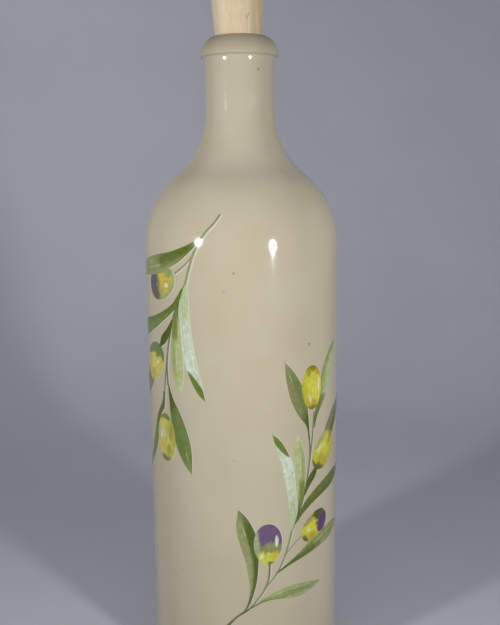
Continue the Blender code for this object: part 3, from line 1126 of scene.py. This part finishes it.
def upright_to_leaning(points, form, height):
    """Points turned about the Y axis by minus the lean, then shifted and raised to the rim."""
    turn = np.array(Matrix.Rotation(-form.lean, 3, "Y"))
    return points @ turn.T + np.array([form.shift, 0.0, height])


# The dark check in the stopper's side, as strokes on its unrolled side: arc to the right of
# the middle of the shown side and height over the rim, in millimetres.
CHECK_STROKES = (
    ((2.95, 6.8), (3.3, 5.9), (3.6, 5.1)),
    ((3.6, 5.1), (3.95, 6.3), (4.5, 7.1)),
    ((4.5, 7.1), (5.1, 6.6)),
    ((3.6, 5.3), (3.5, 0.6)),
)

# Each stroke's share of a full cut, how deep a full cut goes, and its colour.
CHECK_DEPTHS = (0.45, 0.6, 0.4, 0.3)
CHECK_CUT = 0.25 * MM
CHECK_COLOUR = "#8f7655"

UprightBand = namedtuple("UprightBand", "colour strength place width")

# Upright bands on the stopper: place to the right of the axis and width, in millimetres. The two pale bands
# on the left are painted light, a lighter lit side and edge; the two on the right are darker, olive and
# orange-brown.
PAINTED_LIGHT_AND_DARK_BANDS = (
    UprightBand("#e9d7b8", 0.45, -6.5, 2.5),
    UprightBand("#d9c4b2", 0.4, -8.4, 1.0),
    UprightBand("#b9aa82", 0.6, 6.0, 0.9),
    UprightBand("#bfa079", 0.6, 8.6, 0.7),
)


def check_mask(arc, height):
    """The strongest of the strokes at each point: 1 on a stroke, falling to 0 over its width
    of 0.3 mm, by the distance to the nearest point of the stroke's smooth path."""
    mask = np.zeros_like(arc)
    for stroke, depth in zip(CHECK_STROKES, CHECK_DEPTHS):
        path = smooth_path(stroke, 24)
        away = np.hypot(arc[:, None] - path[:, 0], height[:, None] - path[:, 1]).min(axis=1)
        mask = np.maximum(mask, depth * (1.0 - smooth(0.05, 0.3, away)))
    return mask


def stopper_surface(points):
    """Arc and height, in millimetres, of points on the upright stopper."""
    arc = np.arctan2(points[:, 0], -points[:, 1]) * np.hypot(points[:, 0], points[:, 1]) / MM
    return arc, points[:, 2] / MM


def stopper_relief(points):
    """The bare wood's surface: each point of the side sinks below the turned cone, by the
    rings' wave and the check's cut, and its radius is multiplied by 1 - sink / radius."""
    arc, height = stopper_surface(points)
    radius = np.maximum(np.hypot(points[:, 0], points[:, 1]), 0.1 * MM)
    side = smooth(*RELIEF_FROM, radius)
    depth = RING_HEIGHT * ring_wave(points, RING_SPACING) - CHECK_CUT * check_mask(arc, height)
    scale = 1.0 + side * (depth - RING_HEIGHT) / radius
    return points * np.stack([scale, scale, np.ones_like(scale)], axis=1)


def stopper_paint(points, colours):
    """The wood's rings, its upright bands, each a bell curve about its place (the pale ones on the left are
    painted light), and its check.
    """
    pale, dark = np.array(colours.wood_pale)[:3], np.array(colours.wood_dark)[:3]
    x = points[:, 0] / MM + 0.25 * np.sin(points[:, 2] / (6.0 * MM))
    rings, wide_rings = ring_wave(points, RING_SPACING), ring_wave(points, BAND_SPACING)
    paint = blend(pale, dark, 0.08 * rings + 0.16 * wide_rings)
    # The pale bands on the left are painted light on the lit side.
    for band in PAINTED_LIGHT_AND_DARK_BANDS:
        share = band.strength * np.exp(-(((x - band.place) / band.width) ** 2))
        paint = blend(paint, colour_row(band.colour), share)
    arc, height = stopper_surface(points)
    return blend(paint, colour_row(CHECK_COLOUR), 0.9 * check_mask(arc, height))


def bare_wood():
    """Beech or a like pale wood, turned and left bare: dull, with fine upright pores."""
    material, tree, shader = new_material("pale wood, turned and bare")
    paint = add_node(tree, "ShaderNodeVertexColor", {"layer_name": "paint"})
    coords = add_node(tree, "ShaderNodeTexCoord").outputs["Object"]
    # Pores are about 0.3 mm wide and 4 mm long.
    stretch = add_node(tree, "ShaderNodeMapping", None, {"Vector": coords, "Scale": (3000.0, 3000.0, 220.0)})
    pores = add_node(
        tree,
        "ShaderNodeTexNoise",
        None,
        {"Vector": stretch.outputs[0], "Scale": 1.0, "Detail": 3.0},
    )
    strength = add_node(
        tree, "ShaderNodeMapRange", None, {0: pores.outputs[0], 1: 0.3, 2: 0.7, 3: 0.9, 4: 1.06}
    )
    grained = add_node(
        tree,
        "ShaderNodeVectorMath",
        {"operation": "SCALE"},
        {0: paint.outputs[0], "Scale": strength.outputs[0]},
    )
    bump = add_node(
        tree,
        "ShaderNodeBump",
        None,
        {"Strength": 0.4, "Distance": 0.05 * MM, "Height": pores.outputs[0]},
    )
    tree.links.new(grained.outputs[0], shader.inputs["Base Color"])
    tree.links.new(bump.outputs[0], shader.inputs["Normal"])
    shader.inputs["Roughness"].default_value = 0.62
    shader.inputs["IOR"].default_value = 1.46
    return material


class OILBOTTLE_OT_bottle(bpy.types.Operator):
    """Build the glazed bottle over its solid"""

    bl_idname = "oilbottle.bottle"
    bl_label = "Glazed bottle"

    def execute(self, context):
        scene = context.scene
        form, colours = scene.oil_bottle_form, scene.oil_bottle_colours

        def shape(points):
            azimuth = np.arctan2(points[:, 0], -points[:, 1])
            radius = np.hypot(points[:, 0], points[:, 1])
            off = thrown(azimuth, points[:, 2]) * smooth(*THROW_FROM, radius)
            scale = 1.0 + off / np.maximum(radius, 1.0 * MM)
            return points * np.stack([scale, scale, np.ones_like(scale)], axis=1)

        outline = bottle_outline(form)
        bottle = turned_piece("glazed_bottle", outline, BOTTLE_COLUMNS, stoneware_glaze(form, colours), shape)
        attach(bottle, ROOT)
        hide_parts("bottle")
        return {"FINISHED"}


class OILBOTTLE_OT_stopper(bpy.types.Operator):
    """Build the wooden stopper over its solid"""

    bl_idname = "oilbottle.stopper"
    bl_label = "Wooden stopper"

    def execute(self, context):
        scene = context.scene
        form, colours = scene.oil_bottle_stopper, scene.oil_bottle_colours
        rim = scene.oil_bottle_form.height
        paints = []

        def shape(points):
            paints.append(stopper_paint(points, colours))
            return upright_to_leaning(stopper_relief(points), form, rim)

        stopper = turned_piece(
            "wooden_stopper",
            stopper_outline(form),
            STOPPER_COLUMNS,
            bare_wood(),
            shape,
            lambda points: paints[0],
        )
        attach(stopper, ROOT)
        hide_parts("stopper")
        return {"FINISHED"}


class OILBOTTLE_OT_sprigs(bpy.types.Operator):
    """Print the olive sprigs on the glaze"""

    bl_idname = "oilbottle.sprigs"
    bl_label = "Olive sprigs"

    def execute(self, context):
        form, colours = context.scene.oil_bottle_form, context.scene.oil_bottle_colours
        enamel, white = transfer_print(), white_underprint(colours)
        for placing in (RISING, HANGING):
            for piece in (underprint(form, placing, white), colour_print(form, placing, enamel)):
                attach(piece, ROOT)
        return {"FINISHED"}


# The photograph's frame in pixels, its focal length in pixels, and where its camera stood.
PHOTO_SIZE = (500, 625)
FOCAL_PIXELS = 840.5
CAMERA_PLACE = (3.06 * MM, -333.5 * MM, 198.0 * MM)
CAMERA_TILT = math.radians(9.87)
CAMERA_ROLL = math.radians(0.555)
SENSOR_MM = 36.0

Lamp = namedtuple("Lamp", "name azimuth distance height width tallness tilt spread watts")

# Lengths are in metres, from the bottle's axis and the floor, and angles in degrees. A
# negative tilt points a lamp down.
LAMPS = (
    Lamp("right lamp", 35.0, 0.425, 0.180, 0.054, 0.1, -4.5, 116.0, 0.475),
    Lamp("left lamp", -48.0, 0.425, 0.210, 0.046, 0.044, -2.5, 108.0, 0.39),
)
AIR_COLOUR = "#ccd3ec"
AIR_STRENGTH = 0.51
BACKDROP_WATTS = 0.15
BACKDROP_LAMP_SIZE = 0.2
BACKDROP_LAMP_SPREAD = math.radians(120.0)
BACKDROP_LAMP_PLACE = (-0.14, 0.2, 0.5)
BACKDROP_LAMP_AIM = (-0.17, 0.6, 0.17)

# The cove's radii and heights: the flat floor, the curve that leads up to the wall, and the
# closed back. It lies a hair under the bottle, so that the two don't share a face.
COVE_RING = 0.02
COVE_FLOOR = 0.3
COVE_CURVE = 0.3
COVE_WALL = 0.6
COVE_TOP = 0.9
COVE_BACK = 0.62
COVE_UNDER = -0.03
COVE_GAP = 0.0002
COVE_COLUMNS = 96


def make_camera():
    """The photograph's camera: out along -Y, looking along +Y, tilted down and rolled a little."""
    data = bpy.data.cameras.new("photo camera")
    data.sensor_width = SENSOR_MM
    data.lens = SENSOR_MM * FOCAL_PIXELS / max(PHOTO_SIZE)
    data.clip_start = 0.01
    camera = bpy.data.objects.new("photo camera", data)
    aim = Matrix.Rotation(math.pi / 2 - CAMERA_TILT, 4, "X") @ Matrix.Rotation(-CAMERA_ROLL, 4, "Z")
    camera.matrix_world = Matrix.Translation(CAMERA_PLACE) @ aim
    bpy.context.scene.collection.objects.link(camera)
    bpy.context.scene.camera = camera


def make_lamp(lamp):
    """A small oval lamp that faces the bottle's axis, tilted by its own angle, with a grid
    that narrows its beam to the given spread."""
    data = bpy.data.lights.new(lamp.name, "AREA")
    data.shape = "ELLIPSE"
    data.size = lamp.width
    data.size_y = lamp.tallness
    data.spread = math.radians(lamp.spread)
    data.energy = lamp.watts
    light = bpy.data.objects.new(lamp.name, data)
    azimuth = math.radians(lamp.azimuth)
    place = (lamp.distance * math.sin(azimuth), -lamp.distance * math.cos(azimuth), lamp.height)
    aim = Matrix.Rotation(azimuth, 4, "Z") @ Matrix.Rotation(math.radians(90.0 + lamp.tilt), 4, "X")
    light.matrix_world = Matrix.Translation(place) @ aim
    light.visible_camera = False
    bpy.context.scene.collection.objects.link(light)


def make_backdrop_lamp():
    """A large soft lamp above and behind the bottle that lights only the backdrop."""
    data = bpy.data.lights.new("backdrop lamp", "AREA")
    data.size = BACKDROP_LAMP_SIZE
    data.spread = BACKDROP_LAMP_SPREAD
    data.energy = BACKDROP_WATTS
    light = bpy.data.objects.new("backdrop lamp", data)
    place, target = Vector(BACKDROP_LAMP_PLACE), Vector(BACKDROP_LAMP_AIM)
    light.location = place
    light.rotation_euler = (target - place).to_track_quat("-Z", "Y").to_euler()
    light.visible_camera = False
    light.visible_glossy = False
    bpy.context.scene.collection.objects.link(light)


def matt_paper(colour):
    """Background paper, matt: cool grey with no sheen, lit to a soft gradient."""
    material, tree, shader = new_material("background paper, matt")
    coords = add_node(tree, "ShaderNodeTexCoord").outputs["Object"]
    # The paper clouds over patches about 80 mm across.
    cloud = add_node(tree, "ShaderNodeTexNoise", None, {"Vector": coords, "Scale": 12.0, "Detail": 2.0})
    shade = add_node(
        tree, "ShaderNodeMapRange", None, {0: cloud.outputs[0], 1: 0.3, 2: 0.7, 3: 0.98, 4: 1.02}
    )
    tone = add_node(
        tree,
        "ShaderNodeVectorMath",
        {"operation": "SCALE"},
        {0: colour[:3], "Scale": shade.outputs[0]},
    )
    tree.links.new(tone.outputs[0], shader.inputs["Base Color"])
    shader.inputs["Roughness"].default_value = 0.9
    shader.inputs["Specular IOR Level"].default_value = 0.1
    return material


def cove_outline():
    """Radius and height of the cove: floor, quarter circle, wall, back and underside."""
    return np.vstack(
        [
            straight((COVE_RING, 0.0), (COVE_FLOOR, 0.0), 6)[:-1],
            ellipse_arc((COVE_FLOOR, COVE_CURVE), COVE_CURVE, COVE_CURVE, -90, 0, 24),
            straight((COVE_WALL, COVE_CURVE), (COVE_WALL, COVE_TOP), 4)[1:],
            straight((COVE_WALL, COVE_TOP), (COVE_BACK, COVE_TOP), 2)[1:],
            straight((COVE_BACK, COVE_TOP), (COVE_BACK, COVE_UNDER), 4)[1:],
            straight((COVE_BACK, COVE_UNDER), (COVE_RING, COVE_UNDER), 4)[1:],
        ]
    )


class OILBOTTLE_OT_stage(bpy.types.Operator):
    """Set the floor and backdrop, the lamps, the air light and the camera"""

    bl_idname = "oilbottle.stage"
    bl_label = "Stage"

    def execute(self, context):
        paper = matt_paper(tuple(context.scene.oil_bottle_colours.backdrop))
        outline = cove_outline()[::-1] - np.array([0.0, COVE_GAP])
        cove = turned_piece("cove", outline, COVE_COLUMNS, paper)
        for lamp in LAMPS:
            make_lamp(lamp)
        make_backdrop_lamp()
        world = bpy.data.worlds.new("air")
        world.use_nodes = True
        background = world.node_tree.nodes["Background"]
        background.inputs["Color"].default_value = linear(AIR_COLOUR)
        background.inputs["Strength"].default_value = AIR_STRENGTH
        context.scene.world = world
        context.scene.view_settings.view_transform = "Standard"
        make_camera()
        return {"FINISHED"}


class OILBOTTLE_PT_sidebar(bpy.types.Panel):
    """The oil bottle's pieces, sizes and colours in the 3D view's sidebar"""

    bl_idname = "OILBOTTLE_PT_sidebar"
    bl_label = "Oil bottle"
    bl_space_type = "VIEW_3D"
    bl_region_type = "UI"
    bl_category = "Oil Bottle"

    def draw(self, context):
        for operator in OPERATORS:
            self.layout.operator(operator.bl_idname)
        for name in GROUPS:
            group = getattr(context.scene, name)
            box = self.layout.box()
            for key in group.bl_rna.properties.keys():
                if key not in ("rna_type", "name"):
                    box.prop(group, key)


GROUPS = {
    "oil_bottle_form": OilBottleForm,
    "oil_bottle_stopper": OilBottleStopperForm,
    "oil_bottle_colours": OilBottleColours,
}
OPERATORS = (OILBOTTLE_OT_bottle, OILBOTTLE_OT_stopper, OILBOTTLE_OT_sprigs, OILBOTTLE_OT_stage)


def register():
    """Register the classes and hang the property groups on the scene."""
    for item in (*GROUPS.values(), *OPERATORS, OILBOTTLE_PT_sidebar):
        bpy.utils.register_class(item)
    for name, group in GROUPS.items():
        setattr(bpy.types.Scene, name, bpy.props.PointerProperty(type=group))


def unregister():
    """Take the property groups and the classes away again."""
    for name in GROUPS:
        delattr(bpy.types.Scene, name)
    for item in (OILBOTTLE_PT_sidebar, *OPERATORS, *GROUPS.values()):
        bpy.utils.unregister_class(item)


def main():
    """Build every piece."""
    register()
    bpy.ops.oilbottle.bottle()
    bpy.ops.oilbottle.stopper()
    bpy.ops.oilbottle.sprigs()
    bpy.ops.oilbottle.stage()


if __name__ == "__main__":
    main()
